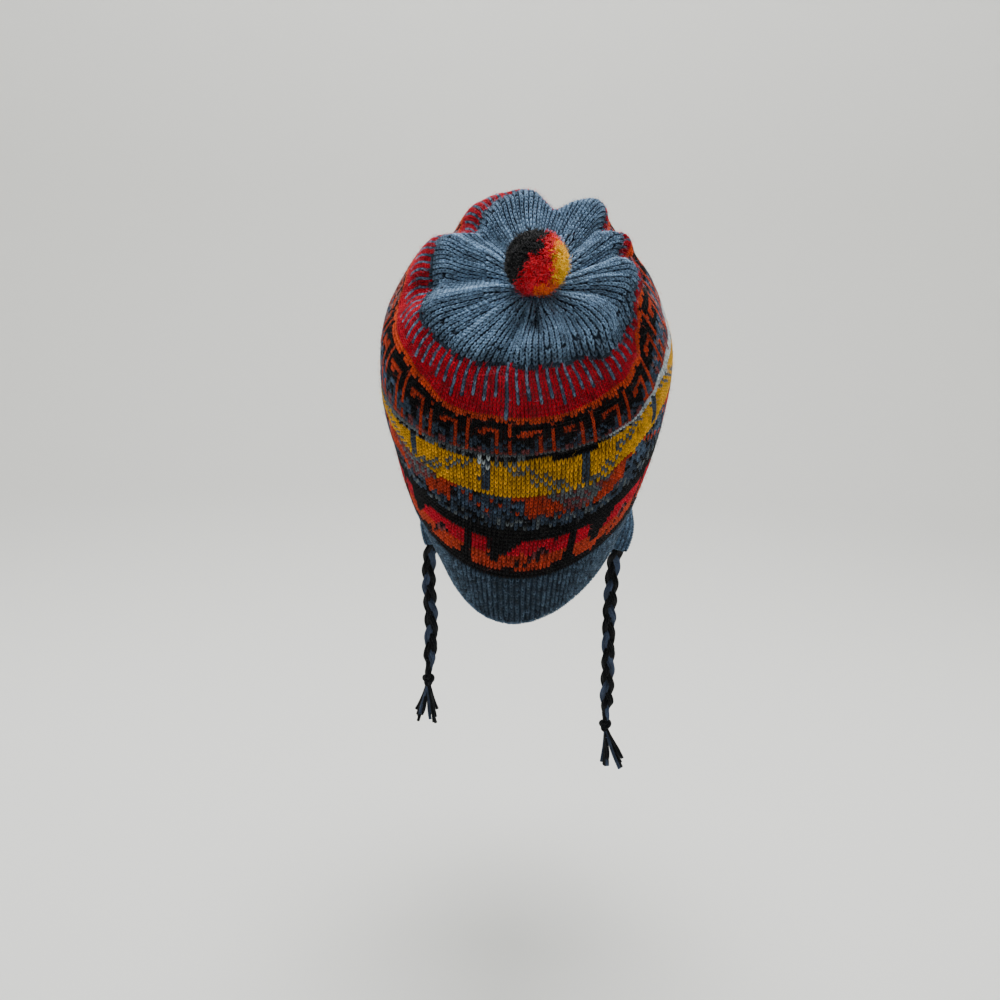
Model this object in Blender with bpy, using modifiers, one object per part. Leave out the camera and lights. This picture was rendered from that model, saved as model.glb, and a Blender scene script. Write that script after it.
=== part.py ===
"""A knitted chullo hat: patterned crown with a gathered top, rib border, ear flaps, braided ties and a pompom.

Metres, +Z up. The hat keeps the form that it has on a head: tipped back, so that its opening faces down and
forward (+Y) and its gathered top faces up and back (-Y). The origin is the inside of the gather, in the middle
of the crown, where the hat bears on the head.
"""

import math

import bmesh
import bpy
import numpy as np
from mathutils import Vector

# The knitted wall
HAT_WIDTH = 0.156
HAT_DEPTH = 0.184
HAT_RISE = 0.178
WALL = 0.003
BORDER_COURSES = 11
TOP_COURSE = 90
SEAM_GAP = 0.0005
TIE_GAP = 0.0016

# The gathered top and the fold at the back
LOBE_PUFF = 0.006
CREASE_DEPTH = 0.006
NOTCH_SHARE = 0.28
FOLD_DEPTH = 0.002

# Ear flaps
FLAP_WIDTH = 0.086
FLAP_LENGTH = 0.047
FLAP_ANGLE = 2.0
LEFT_FLAP_BILLOW = 0.007
RIGHT_FLAP_BILLOW = 0.008
LEFT_FLAP_TUCK = -0.003
RIGHT_FLAP_TUCK = -0.005

# Ties, tassels and pompom
TIE_DIAMETER = 0.0078
TIE_POINT_SPACING = 0.010
TASSEL_LENGTH = 0.029
TASSEL_SPREAD = 0.009
TASSEL_HEAD_DIAMETER = 0.0082
LOCK_DIAMETER = 0.0034
LOCKS_PER_TASSEL = 7
POMPOM_DIAMETER = 0.033
POMPOM_TUFTS = 70
TUFT_DEPTH = 0.0016
TOUCH_GAP = 0.0003

# How finely the solids are faceted
ANGLE_STEPS = 64
FLAP_STEPS = 10

# The knitted wall as rings, counted in courses from the cast-on edge. Each ring lies in a plane that rises toward
# the forehead by its slope in degrees. back and depth are shares of HAT_DEPTH, height of HAT_RISE, width, lean and
# nape_shift of half HAT_WIDTH. widest is how far along the ring its widest place lies, pinch narrows it toward the
# nape, and roll in degrees lifts its right side. notch and puff weigh the scallops and the swell of the lobes.
COLUMNS = (
    "course", "back", "height", "slope", "depth", "width", "widest", "lean", "nape_shift", "roll", "pinch", "notch", "puff",
)
SECTIONS = np.array([
    (0, 0.01, -0.97, 35, 0.97, 0.735, 0.58, 0.06, -0.10, 0, 0.12, 0.00, 0.0),
    (11, -0.08, -0.81, 34, 1.00, 0.88, 0.54, 0.015, -0.06, 0, 0.12, 0.00, 0.0),
    (24, -0.15, -0.65, 33, 1.00, 0.95, 0.50, 0.01, -0.03, 1, 0.08, 0.00, 0.0),
    (33, -0.17, -0.55, 33, 0.99, 0.99, 0.48, 0.00, 0.00, 2, 0.03, 0.00, 0.0),
    (42, -0.19, -0.45, 34, 0.96, 1.00, 0.46, 0.00, 0.00, 3, 0.00, 0.00, 0.0),
    (52, -0.19, -0.35, 38, 0.89, 0.97, 0.46, -0.01, 0.00, 1, 0.00, 0.10, 0.0),
    (58, -0.19, -0.29, 42, 0.81, 0.89, 0.47, -0.02, 0.00, 3, 0.00, 0.35, 0.0),
    (66, -0.18, -0.22, 47, 0.70, 0.78, 0.48, -0.04, 0.00, 6, 0.00, 0.85, 0.2),
    (70, -0.16, -0.19, 49, 0.64, 0.74, 0.50, -0.03, 0.00, 8, 0.00, 1.00, 0.7),
    (75, -0.13, -0.15, 50, 0.54, 0.63, 0.50, -0.01, 0.00, 8, 0.00, 0.95, 1.1),
    (82, -0.08, -0.08, 50, 0.35, 0.40, 0.50, 0.01, 0.00, 6, 0.00, 0.60, 0.9),
    (90, -0.01, 0.01, 50, 0.05, 0.06, 0.50, 0.03, 0.00, 0, 0.00, 0.00, 0.0),
])

# Furrows of the gather: angle round the ring in degrees, half width in degrees, depth at the rim, depth inside
FURROWS = np.array([
    (71, 12, 0.80, 0.7),
    (29, 10, 0.75, 0.6),
    (4, 8, 0.45, 0.7),
    (-33, 10, 0.25, 0.6),
    (-62, 9, 0.45, 0.7),
    (-100, 7, 0.30, 1.0),
    (-137, 11, 0.15, 0.4),
    (-176, 10, 0.20, 1.0),
    (135, 9, 0.70, 0.7),
])

# The horizontal fold at the back, below the key band: course, half height in courses, angle, half width in degrees
FOLD_COURSE = 42.5
FOLD_HEIGHT = 1.6
FOLD_ANGLE = -78
FOLD_WIDTH = 30

# Courses at which the solid wall has a ring of points
CROWN_RINGS = (14, 18, 22, 26, 30, 34, 37.5, 40.5, 42.5, 45, 48, 51, 54, 57, 60, 63, 66, 68.5, 71, 74, 77.5, 81, 84.5, 87.5)

# Ear flap: share of its length below the border, and its width there as a share of the flap's width
FLAP_TAPER = np.array([(0.0, 1.0), (0.2, 0.9), (0.45, 0.7), (0.7, 0.46), (0.88, 0.28), (1.0, 0.16)])

# Routes of the ties below the flap tips: sideways, forward and down, in metres
LEFT_TIE_ROUTE = (
    (0.000, 0.000, 0.000), (-0.001, 0.004, -0.006), (-0.003, 0.007, -0.016), (-0.003, 0.007, -0.034),
    (-0.001, 0.007, -0.056), (-0.001, 0.007, -0.076), (-0.002, 0.007, -0.096),
)
RIGHT_TIE_ROUTE = (
    (0.000, 0.000, 0.000), (0.000, 0.004, -0.006), (-0.001, 0.007, -0.016), (-0.002, 0.007, -0.036),
    (-0.002, 0.007, -0.062), (-0.001, 0.007, -0.092), (-0.001, 0.007, -0.124),
)

# Colours, as sRGB hex
SLATE_BLUE = "56708C"
CRIMSON = "B0112A"
BLACK = "141414"
NIGHT_BLUE = "242C3C"


def linear(value):
    """One sRGB channel from 0 to 1 as linear light."""
    return value / 12.92 if value <= 0.04045 else ((value + 0.055) / 1.055) ** 2.4


def yarn_material(name, colour):
    """Plain matt yarn in one colour."""
    material = bpy.data.materials.new(name)
    material.use_nodes = True
    shader = material.node_tree.nodes["Principled BSDF"]
    rgb = [linear(int(colour[i:i + 2], 16) / 255) for i in (0, 2, 4)]
    shader.inputs["Base Color"].default_value = (*rgb, 1)
    shader.inputs["Roughness"].default_value = 0.9
    shader.inputs["Metallic"].default_value = 0
    material.diffuse_color = (*rgb, 1)
    return material


def section(course, column):
    """A column of SECTIONS at any course, on a smooth curve through the table's rows."""
    known = SECTIONS[:, 0]
    values = SECTIONS[:, COLUMNS.index(column)]
    slopes = np.gradient(values, known)
    low = np.clip(np.searchsorted(known, course, side="right") - 1, 0, len(known) - 2)
    span = known[low + 1] - known[low]
    t = (course - known[low]) / span
    start = (2 * t**3 - 3 * t**2 + 1) * values[low] + (t**3 - 2 * t**2 + t) * span * slopes[low]
    end = (3 * t**2 - 2 * t**3) * values[low + 1] + (t**3 - t**2) * span * slopes[low + 1]
    return start + end


def furrow(angle, column):
    """How deep the gather's furrows are at an angle, 0 on a lobe and about 1 in the deepest."""
    centres, widths, depths = FURROWS[:, 0], FURROWS[:, 1], FURROWS[:, column]
    away = (np.asarray(angle)[..., None] - centres + 180) % 360 - 180
    return (depths * np.exp(-((away / widths) ** 2))).sum(axis=-1)


def back_fold(angle, course):
    """How far the wall steps in at the fold across the back, with a small bulge above it."""
    across = np.exp(-((((angle - FOLD_ANGLE + 180) % 360 - 180) / FOLD_WIDTH) ** 2))
    crease = np.exp(-(((course - FOLD_COURSE) / FOLD_HEIGHT) ** 2))
    bulge = np.exp(-(((course - FOLD_COURSE - 3 * FOLD_HEIGHT) / (2 * FOLD_HEIGHT)) ** 2))
    return FOLD_DEPTH * across * (0.6 * bulge - crease)


def knit_surface(angle, course):
    """Outside of the knitted wall. Angle in degrees round the ring: 0 right ear, 90 forehead, -90 nape."""
    angle, course = np.broadcast_arrays(np.asarray(angle, float), np.asarray(course, float))
    side, ahead = np.cos(np.radians(angle)), np.sin(np.radians(angle))
    depth = section(course, "depth") * HAT_DEPTH
    widest = section(course, "widest") * depth
    half_width = section(course, "width") * HAT_WIDTH / 2
    nape = np.maximum(-ahead, 0) ** 2
    x = half_width * side * (1 - section(course, "pinch") * nape)
    along = widest + np.where(ahead < 0, widest, depth - widest) * ahead - depth / 2
    notched = 1 - NOTCH_SHARE * section(course, "notch") * furrow(angle, 2)
    folded = 1 + back_fold(angle, course) / np.hypot(x, along)
    x, along = x * notched * folded, along * notched * folded + depth / 2
    x = x + (section(course, "nape_shift") * nape + section(course, "lean")) * HAT_WIDTH / 2
    puff = section(course, "puff")
    out = puff * LOBE_PUFF - np.minimum(puff, 1) * CREASE_DEPTH * furrow(angle, 3)
    slope, roll = np.radians(section(course, "slope")), np.radians(section(course, "roll"))
    y = section(course, "back") * HAT_DEPTH + along * np.cos(slope) - out * np.sin(slope)
    z = section(course, "height") * HAT_RISE + along * np.sin(slope) + out * np.cos(slope)
    return np.stack([x * np.cos(roll), y, z + x * np.sin(roll)], axis=-1)


def course_height(course):
    """Height of one course at the nape, in metres."""
    low, high = knit_surface(-90, course), knit_surface(-90, course + 1)
    return float(np.linalg.norm(high - low))


def add_object(name, mesh, material, collection):
    """An object that shows the mesh, shaded smooth, in the hat's collection."""
    obj = bpy.data.objects.new(name, mesh)
    mesh.materials.append(material)
    mesh.shade_smooth()
    collection.objects.link(obj)
    return obj


def grid_mesh(name, points, closed_round, pole=None):
    """A mesh of quads over rows of points. With a pole, the last row is closed by a fan of triangles to it."""
    rows, steps = points.shape[:2]
    mesh_points = points.reshape(-1, 3).tolist()
    wrap = steps if closed_round else steps - 1
    faces = [
        (r * steps + c, r * steps + (c + 1) % steps, (r + 1) * steps + (c + 1) % steps, (r + 1) * steps + c)
        for r in range(rows - 1) for c in range(wrap)
    ]
    if pole is not None:
        mesh_points.append(tuple(pole))
        last = (rows - 1) * steps
        faces += [(last + c, last + (c + 1) % steps, rows * steps) for c in range(wrap)]
    mesh = bpy.data.meshes.new(name)
    mesh.from_pydata(mesh_points, [], faces)
    return mesh


def thicken(obj, thickness):
    """Turns an open surface into a wall, toward its inner side."""
    solid = obj.modifiers.new("Wall", "SOLIDIFY")
    solid.thickness = thickness
    solid.offset = -1


def build_crown(collection):
    """The patterned tube and its gathered top, closed in the middle of the gather."""
    angles = np.arange(ANGLE_STEPS) * 360 / ANGLE_STEPS - 180
    start = BORDER_COURSES + SEAM_GAP / course_height(BORDER_COURSES) / 2
    rings = [start] + [course for course in CROWN_RINGS if course > start + 1]
    points = knit_surface(angles[None, :], np.array(rings)[:, None])
    pole = knit_surface(angles, TOP_COURSE).mean(axis=0)
    mesh = grid_mesh("crown", points, True, pole)
    crown = add_object("crown", mesh, yarn_material("patterned_knit", CRIMSON), collection)
    thicken(crown, WALL)


def build_border(collection, material):
    """The rib border, from the cast-on edge to the first patterned course."""
    angles = np.arange(ANGLE_STEPS) * 360 / ANGLE_STEPS - 180
    end = BORDER_COURSES - SEAM_GAP / course_height(BORDER_COURSES) / 2
    points = knit_surface(angles[None, :], np.linspace(0, end, 4)[:, None])
    border = add_object("ribbed_border", grid_mesh("ribbed_border", points, True), material, collection)
    thicken(border, WALL)


def hang_direction():
    """The way the flaps hang from the border: down the hat's tipped axis."""
    slope = math.radians(float(section(0, "slope")))
    return np.array([0, math.sin(slope), -math.cos(slope)])


def flap_surface(side, across, down):
    """Outside of an ear flap. across runs from -1 at the nape side to 1, down from 0 at the border to 1."""
    centre = FLAP_ANGLE if side > 0 else 180 - FLAP_ANGLE
    half_span = side * math.degrees(FLAP_WIDTH / HAT_DEPTH)
    angle = centre + half_span * across * np.interp(down, FLAP_TAPER[:, 0], FLAP_TAPER[:, 1])
    edge = knit_surface(angle, 0)
    from_border = edge - knit_surface(angle, 1)
    from_border /= np.linalg.norm(from_border, axis=-1, keepdims=True)
    hang = np.minimum(down, 0.5)[..., None] * 2
    billow, tuck = (RIGHT_FLAP_BILLOW, RIGHT_FLAP_TUCK) if side > 0 else (LEFT_FLAP_BILLOW, LEFT_FLAP_TUCK)
    swell = billow * np.sin(np.pi * down) * (1 - 0.5 * across**2) - tuck * down**1.5
    drop = FLAP_LENGTH * down[..., None] * ((1 - hang) * from_border + hang * hang_direction())
    return edge + SEAM_GAP * from_border + drop + swell[..., None] * np.array([side, 0, 0])


def build_flap(name, side, collection, material):
    """One ear flap: a rounded triangle that follows the border's curve and swells outward a little."""
    across, down = np.meshgrid(np.linspace(-1, 1, FLAP_STEPS + 1), np.linspace(0, 1, FLAP_STEPS - 1))
    points = flap_surface(side, across, down)
    if side < 0:
        points = points[:, ::-1]
    flap = add_object(name, grid_mesh(name, points, False), material, collection)
    thicken(flap, WALL)


def flap_tip(side):
    """Middle of the flap's lower edge."""
    return flap_surface(side, np.zeros((1, 1)), np.ones((1, 1)))[0, 0]


def smooth_route(route, spacing):
    """Points at an even spacing along a smooth curve through the route's own points."""
    knots = np.array(route, float)
    tangents = np.gradient(knots, axis=0)
    fine = []
    for i in range(len(knots) - 1):
        t = np.linspace(0, 1, 12, endpoint=False)[:, None]
        fine.append(
            (2 * t**3 - 3 * t**2 + 1) * knots[i] + (t**3 - 2 * t**2 + t) * tangents[i]
            + (3 * t**2 - 2 * t**3) * knots[i + 1] + (t**3 - t**2) * tangents[i + 1]
        )
    path = np.vstack([*fine, knots[-1:]])
    length = np.concatenate([[0], np.cumsum(np.linalg.norm(np.diff(path, axis=0), axis=1))])
    stops = np.linspace(0, length[-1], max(4, round(length[-1] / spacing) + 1))
    return np.stack([np.interp(stops, length, path[:, k]) for k in range(3)], axis=1)


def tie_path(side):
    """Centre line of a tie, from just below its flap tip to the knot."""
    route = RIGHT_TIE_ROUTE if side > 0 else LEFT_TIE_ROUTE
    start = flap_tip(side) - np.array([side * WALL / 2, 0, 0]) + TIE_GAP * hang_direction()
    return smooth_route(np.array(route) + start, TIE_POINT_SPACING)


def build_tie(name, side, collection, material):
    """A plain round tube of the braid's thickness."""
    curve = bpy.data.curves.new(name, "CURVE")
    curve.dimensions = "3D"
    curve.bevel_depth = TIE_DIAMETER / 2
    curve.bevel_resolution = 3
    curve.use_fill_caps = True
    path = tie_path(side)
    spline = curve.splines.new("POLY")
    spline.points.add(len(path) - 1)
    for point, place in zip(spline.points, path):
        point.co = (*place, 1)
    obj = bpy.data.objects.new(name, curve)
    curve.materials.append(material)
    collection.objects.link(obj)


def lock_mesh(path, start_radius, end_radius):
    """A closed tapered strand of yarn along a path, with six sides."""
    strand = bmesh.new()
    rings = []
    for step, place in enumerate(path):
        share = step / (len(path) - 1)
        radius = start_radius + (end_radius - start_radius) * share
        turns = [2 * math.pi * k / 6 for k in range(6)]
        ring = [strand.verts.new(place + Vector((math.cos(t), math.sin(t), 0)) * radius) for t in turns]
        rings.append(ring)
    for low, high in zip(rings, rings[1:]):
        for k in range(6):
            strand.faces.new((low[k], high[k], high[(k + 1) % 6], low[(k + 1) % 6]))
    strand.faces.new(rings[0])
    strand.faces.new(reversed(rings[-1]))
    mesh = bpy.data.meshes.new("lock")
    strand.to_mesh(mesh)
    strand.free()
    return mesh


def build_tassel(name, side, lean, collection, cutters, material):
    """Loose yarn ends as locks, fused to a round head below the tie's knot."""
    top = Vector(tie_path(side)[-1]) - Vector((0, 0, TOUCH_GAP + TASSEL_HEAD_DIAMETER / 2))
    head = bmesh.new()
    bmesh.ops.create_icosphere(head, subdivisions=2, radius=TASSEL_HEAD_DIAMETER / 2)
    bmesh.ops.translate(head, verts=head.verts, vec=top)
    mesh = bpy.data.meshes.new(name)
    head.to_mesh(mesh)
    head.free()
    tassel = add_object(name, mesh, material, collection)
    for index in range(LOCKS_PER_TASSEL):
        turn = 2 * math.pi * index / LOCKS_PER_TASSEL
        reach = TASSEL_SPREAD * (0.55 + 0.45 * math.cos(2.3 * index))
        length = TASSEL_LENGTH * (0.86 + 0.14 * math.sin(1.7 * index))
        out = Vector((math.cos(turn), math.sin(turn), 0))
        path = []
        for step in range(5):
            share = step / 4
            spread = out * (0.0012 + reach * share**1.4) + Vector((lean * share, 0, 0))
            path.append(top + spread - Vector((0, 0, length * share)))
        lock = bpy.data.objects.new(f"{name}_lock", lock_mesh(path, LOCK_DIAMETER / 2, LOCK_DIAMETER / 4))
        cutters.objects.link(lock)
        lock.hide_render = True
        lock.display_type = "WIRE"
        union = tassel.modifiers.new("Lock", "BOOLEAN")
        union.operation = "UNION"
        union.object = lock


def build_pompom(collection):
    """A cut-pile ball: its surface is raised into tufts set out on a spiral over the sphere."""
    seat = knit_surface(np.arange(0, 360, 10), TOP_COURSE).mean(axis=0)
    slope = math.radians(float(section(TOP_COURSE, "slope")))
    outward = Vector((0, -math.sin(slope), math.cos(slope)))
    ball = bmesh.new()
    bmesh.ops.create_icosphere(ball, subdivisions=4, radius=1)
    index = np.arange(POMPOM_TUFTS) + 0.5
    height = 1 - 2 * index / POMPOM_TUFTS
    turn = math.pi * (1 + 5**0.5) * index
    level = np.sqrt(1 - height**2)
    tufts = np.stack([level * np.cos(turn), level * np.sin(turn), height], axis=1)
    for vert in ball.verts:
        nearest = math.acos(min(1, float((tufts @ np.array(vert.co)).max())))
        spacing = 2 / math.sqrt(POMPOM_TUFTS)
        vert.co *= POMPOM_DIAMETER / 2 - TUFT_DEPTH * min(1, nearest / spacing)
    centre = Vector(seat) + outward * (POMPOM_DIAMETER / 2 + TOUCH_GAP)
    bmesh.ops.translate(ball, verts=ball.verts, vec=centre)
    mesh = bpy.data.meshes.new("pompom")
    ball.to_mesh(mesh)
    ball.free()
    add_object("pompom", mesh, yarn_material("pompom_yarn", CRIMSON), collection)


def clear_scene():
    """Removes every object of the open scene."""
    for obj in list(bpy.data.objects):
        bpy.data.objects.remove(obj)


clear_scene()
hat = bpy.data.collections.new("chullo_hat")
helpers = bpy.data.collections.new("locks")
bpy.context.scene.collection.children.link(hat)
bpy.context.scene.collection.children.link(helpers)
slate = yarn_material("slate_blue_knit", SLATE_BLUE)
braid = yarn_material("braid_yarn", BLACK)
ends = yarn_material("tassel_yarn", NIGHT_BLUE)
build_crown(hat)
build_border(hat, slate)
build_flap("left_ear_flap", -1, hat, slate)
build_flap("right_ear_flap", 1, hat, slate)
build_pompom(hat)
build_tie("left_tie", -1, hat, braid)
build_tie("right_tie", 1, hat, braid)
build_tassel("left_tassel", -1, -0.001, hat, helpers, ends)
build_tassel("right_tassel", 1, 0.006, hat, helpers, ends)
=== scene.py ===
"""The looks of a knitted chullo hat, seen from behind: stranded bands, a gathered blue top, rib border, ties, pompom.

Metres, +Z up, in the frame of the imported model. -Y is the back of the hat, +Y the forehead, +X the right ear.
"""

import math

import bpy
import numpy as np
from mathutils import Matrix, Vector


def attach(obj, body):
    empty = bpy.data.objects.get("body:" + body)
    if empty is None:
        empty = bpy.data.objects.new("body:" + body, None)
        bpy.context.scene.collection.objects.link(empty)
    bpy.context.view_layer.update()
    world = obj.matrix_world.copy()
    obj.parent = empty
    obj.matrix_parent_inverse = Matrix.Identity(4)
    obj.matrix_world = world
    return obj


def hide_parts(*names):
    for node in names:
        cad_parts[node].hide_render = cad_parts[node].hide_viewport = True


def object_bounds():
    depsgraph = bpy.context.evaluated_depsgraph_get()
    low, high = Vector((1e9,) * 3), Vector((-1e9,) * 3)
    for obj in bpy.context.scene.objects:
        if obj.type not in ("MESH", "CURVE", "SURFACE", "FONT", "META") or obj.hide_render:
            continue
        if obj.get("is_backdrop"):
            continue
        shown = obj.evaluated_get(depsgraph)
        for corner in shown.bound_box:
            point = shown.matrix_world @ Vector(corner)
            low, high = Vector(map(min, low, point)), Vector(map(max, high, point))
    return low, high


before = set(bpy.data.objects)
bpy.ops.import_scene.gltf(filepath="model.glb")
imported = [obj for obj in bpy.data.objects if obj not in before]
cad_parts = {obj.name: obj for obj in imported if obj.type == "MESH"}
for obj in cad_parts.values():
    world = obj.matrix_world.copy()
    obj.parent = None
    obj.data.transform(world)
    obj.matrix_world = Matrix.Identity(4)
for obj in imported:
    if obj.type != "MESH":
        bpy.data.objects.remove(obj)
corners = [list(corner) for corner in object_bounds()]
chance = np.random.default_rng(7)


# The camera: a 36 mm lens about half a metre behind the hat, at the height of its gathered top. It looks 10 degrees
# down and is tilted 1.9 degrees.
pitch, tilt = math.radians(10), math.radians(1.9)
level = Vector((1, 0, 0))
rise = Vector((0, math.sin(pitch), math.cos(pitch)))
right = level * math.cos(tilt) + rise * math.sin(tilt)
upward = rise * math.cos(tilt) - level * math.sin(tilt)
lens = bpy.data.cameras.new("view")
lens.lens, lens.sensor_width = 36, 36
lens.clip_start, lens.clip_end = 0.01, 20
camera = bpy.data.objects.new("view", lens)
turned = Matrix((right, upward, -Vector((0, math.cos(pitch), -math.sin(pitch))))).transposed()
camera.matrix_world = Matrix.Translation((-0.0118, -0.517, -0.0147)) @ turned.to_4x4()
bpy.context.scene.collection.objects.link(camera)
bpy.context.scene.camera = camera


# Wool, used all over: soft 2-ply yarn with a dull sheen. Every piece carries its own yarn colours in an attribute,
# and its fibres lighten and darken them, so that no stitch is quite the same as the next.
def linear(colour):
    """An sRGB hex colour as linear light."""
    value = np.array([int(colour[i:i + 2], 16) / 255 for i in (0, 2, 4)])
    return np.where(value <= 0.04045, value / 12.92, ((value + 0.055) / 1.055) ** 2.4)


YARN = {
    "K": linear("0F0F12"),  # black
    "S": linear("6F8AA6"),  # slate blue
    "m": linear("4A5D75"),  # slate blue, the darker ply
    "s": linear("384657"),  # dark marled blue
    "G": linear("B9C4C8"),  # silver grey
    "g": linear("5E666B"),  # middle grey
    "R": linear("BC122A"),  # crimson
    "O": linear("CE4A26"),  # orange
    "o": linear("B43C22"),  # rust
    "Y": linear("D69E14"),  # mustard
    "D": linear("7A4245"),  # dull red and grey twisted together
    "d": linear("8E6663"),  # the same, paler
}


def add(tree, kind, inputs=None, **settings):
    """One shader node, with its settings and the links or values of its inputs."""
    node = tree.nodes.new(kind)
    for name, value in settings.items():
        setattr(node, name, value)
    for name, value in (inputs or {}).items():
        socket = node.inputs[name]
        if isinstance(value, bpy.types.NodeSocket):
            tree.links.new(value, socket)
        else:
            socket.default_value = value
    return node


def wool(name, twist, depth, roughness=0.9, sheen=0.06):
    """Matt spun wool in the piece's own yarn colours. twist is how often its two plies turn along one strand, and
    depth is their relief. Real fibres are 0.02 mm thick. They are drawn 0.4 mm apart, so that they show, over clouds
    of 6 mm where the dye took less or more."""
    material = bpy.data.materials.new(name)
    material.use_nodes = True
    tree = material.node_tree
    shader = tree.nodes["Principled BSDF"]
    colour = add(tree, "ShaderNodeAttribute", attribute_name="yarn_colour")
    strand = add(tree, "ShaderNodeUVMap", uv_map="strand")
    place = add(tree, "ShaderNodeTexCoord").outputs["Object"]
    fibres_a_metre, clouds_a_metre = 2600, 160
    fibre = add(tree, "ShaderNodeTexNoise", {"Vector": place, "Scale": fibres_a_metre, "Detail": 2})
    cloud = add(tree, "ShaderNodeTexNoise", {"Vector": place, "Scale": clouds_a_metre, "Detail": 2})
    split = add(tree, "ShaderNodeSeparateXYZ", {0: strand.outputs[0]})
    turn = add(tree, "ShaderNodeMath", {0: split.outputs[0], 1: twist, 2: split.outputs[1]}, operation="MULTIPLY_ADD")
    angle = add(tree, "ShaderNodeMath", {0: turn.outputs[0], 1: 4 * math.pi}, operation="MULTIPLY")
    ply = add(tree, "ShaderNodeMath", {0: angle.outputs[0]}, operation="SINE")
    mixed = add(tree, "ShaderNodeMath", {0: fibre.outputs[0], 1: cloud.outputs[0]}, operation="ADD")
    shade = add(tree, "ShaderNodeMapRange", {0: mixed.outputs[0], 1: 0.7, 2: 1.3, 3: 0.62, 4: 1.4})
    plied = add(tree, "ShaderNodeMath", {0: ply.outputs[0], 1: 0.1, 2: shade.outputs[0]}, operation="MULTIPLY_ADD")
    tinted = add(tree, "ShaderNodeVectorMath", {0: colour.outputs["Color"], 1: plied.outputs[0]}, operation="MULTIPLY")
    tree.links.new(tinted.outputs[0], shader.inputs["Base Color"])
    relief = add(tree, "ShaderNodeMath", {0: ply.outputs[0], 1: 0.5, 2: fibre.outputs[0]}, operation="MULTIPLY_ADD")
    bump = add(tree, "ShaderNodeBump", {"Height": relief.outputs[0], "Distance": depth, "Strength": 0.9})
    tree.links.new(bump.outputs[0], shader.inputs["Normal"])
    shader.inputs["Roughness"].default_value = roughness
    shader.inputs["Specular IOR Level"].default_value = 0.12
    shader.inputs["Sheen Weight"].default_value = sheen
    shader.inputs["Sheen Roughness"].default_value = 0.5
    return material


def mesh_object(name, points, faces, colours, material, strand=None):
    """An object from arrays: points (n, 3), faces as arrays of triangles or quads, a colour and a strand place each."""
    mesh = bpy.data.meshes.new(name)
    points = np.asarray(points, np.float32).reshape(-1, 3)
    corners = np.concatenate([np.asarray(f, np.int32).ravel() for f in faces])
    sizes = np.concatenate([np.full(len(f), f.shape[1], np.int32) for f in faces])
    mesh.vertices.add(len(points))
    mesh.vertices.foreach_set("co", points.ravel())
    mesh.loops.add(len(corners))
    mesh.loops.foreach_set("vertex_index", corners)
    mesh.polygons.add(len(sizes))
    mesh.polygons.foreach_set("loop_start", np.concatenate([[0], np.cumsum(sizes)[:-1]]).astype(np.int32))
    mesh.update(calc_edges=True)
    rgba = np.ones((len(points), 4), np.float32)
    rgba[:, :3] = np.asarray(colours).reshape(-1, 3)
    mesh.color_attributes.new("yarn_colour", "FLOAT_COLOR", "POINT").data.foreach_set("color", rgba.ravel())
    place = np.zeros((len(points), 2)) if strand is None else np.asarray(strand).reshape(-1, 2)
    mesh.uv_layers.new(name="strand").data.foreach_set("uv", place[corners].astype(np.float32).ravel())
    mesh.shade_smooth()
    mesh.materials.append(material)
    obj = bpy.data.objects.new(name, mesh)
    bpy.context.scene.collection.objects.link(obj)
    return obj


def cloth_frame(surface, wale, course):
    """Place, sideways and outward directions on a cloth surface: sideways runs along the row to the right as seen
    from outside, and outward is square to it and to the way up."""
    place = surface(wale, course)
    sideways = surface(wale + 0.3, course) - surface(wale - 0.3, course)
    up = surface(wale, course + 0.3) - surface(wale, course - 0.3)
    outward = np.cross(sideways, up)
    return place, *(v / np.maximum(np.linalg.norm(v, axis=-1, keepdims=True), 1e-9) for v in (sideways, outward))


def yarn_spindles(name, surface, wale, course, lift, thick, deep, colour, material):
    """Short lengths of yarn as one mesh. Each has four stations: a tip, two diamond rings and a tip, at the given
    wale and course, raised by lift, thick sideways and deep outward. The arrays are (strands, 4)."""
    count = len(wale)
    uneven = 0.04
    wale = wale + chance.normal(0, uneven, (count, 1))
    course = course + chance.normal(0, uneven, (count, 1))
    place, sideways, outward = cloth_frame(surface, wale, course)
    lift = lift + chance.normal(0, 0.00006, (count, 1))
    turns = np.radians([-90, 0, 90, 180])
    rings = (
        place[:, 1:3, None] + outward[:, 1:3, None] * (lift[:, 1:3, None, None] + deep * np.sin(turns)[:, None])
        + sideways[:, 1:3, None] * (thick[:, 1:3, None, None] * np.cos(turns)[:, None])
    )
    ends = place[:, [0, 3]] + outward[:, [0, 3]] * lift[:, [0, 3], None]
    points = np.concatenate([ends[:, :1], rings[:, 0], rings[:, 1], ends[:, 1:]], axis=1)
    k, after = np.arange(4), np.roll(np.arange(4), -1)
    first = (np.arange(count) * 10)[:, None, None]
    quads = first + np.stack([1 + after, 1 + k, 5 + k, 5 + after], axis=1)
    low = first + np.stack([1 + k, 1 + after, 0 * k], axis=1)
    high = first + np.stack([5 + after, 5 + k, 0 * k + 9], axis=1)
    along = np.array([0, *[0.3] * 4, *[0.7] * 4, 1])
    around = np.array([0.5, 0, 0.25, 0.5, 0.75, 0, 0.25, 0.5, 0.75, 0.5])
    strand = np.broadcast_to(np.stack([along, around], axis=1), (count, 10, 2))
    # Each strand's colour at its four stations: painted shade at both tips, where it dives under the next stitch,
    # painted light at the lower ring and painted shade at the upper one.
    painted_shade = np.array([0.5, *[1.15] * 4, *[0.78] * 4, 0.35])
    tone = (colour * np.exp(chance.normal(0, 0.15, (count, 1))))[:, None] * painted_shade[:, None]
    return mesh_object(
        name, points, [quads.reshape(-1, 4), low.reshape(-1, 3), high.reshape(-1, 3)], tone, material, strand
    )


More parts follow.
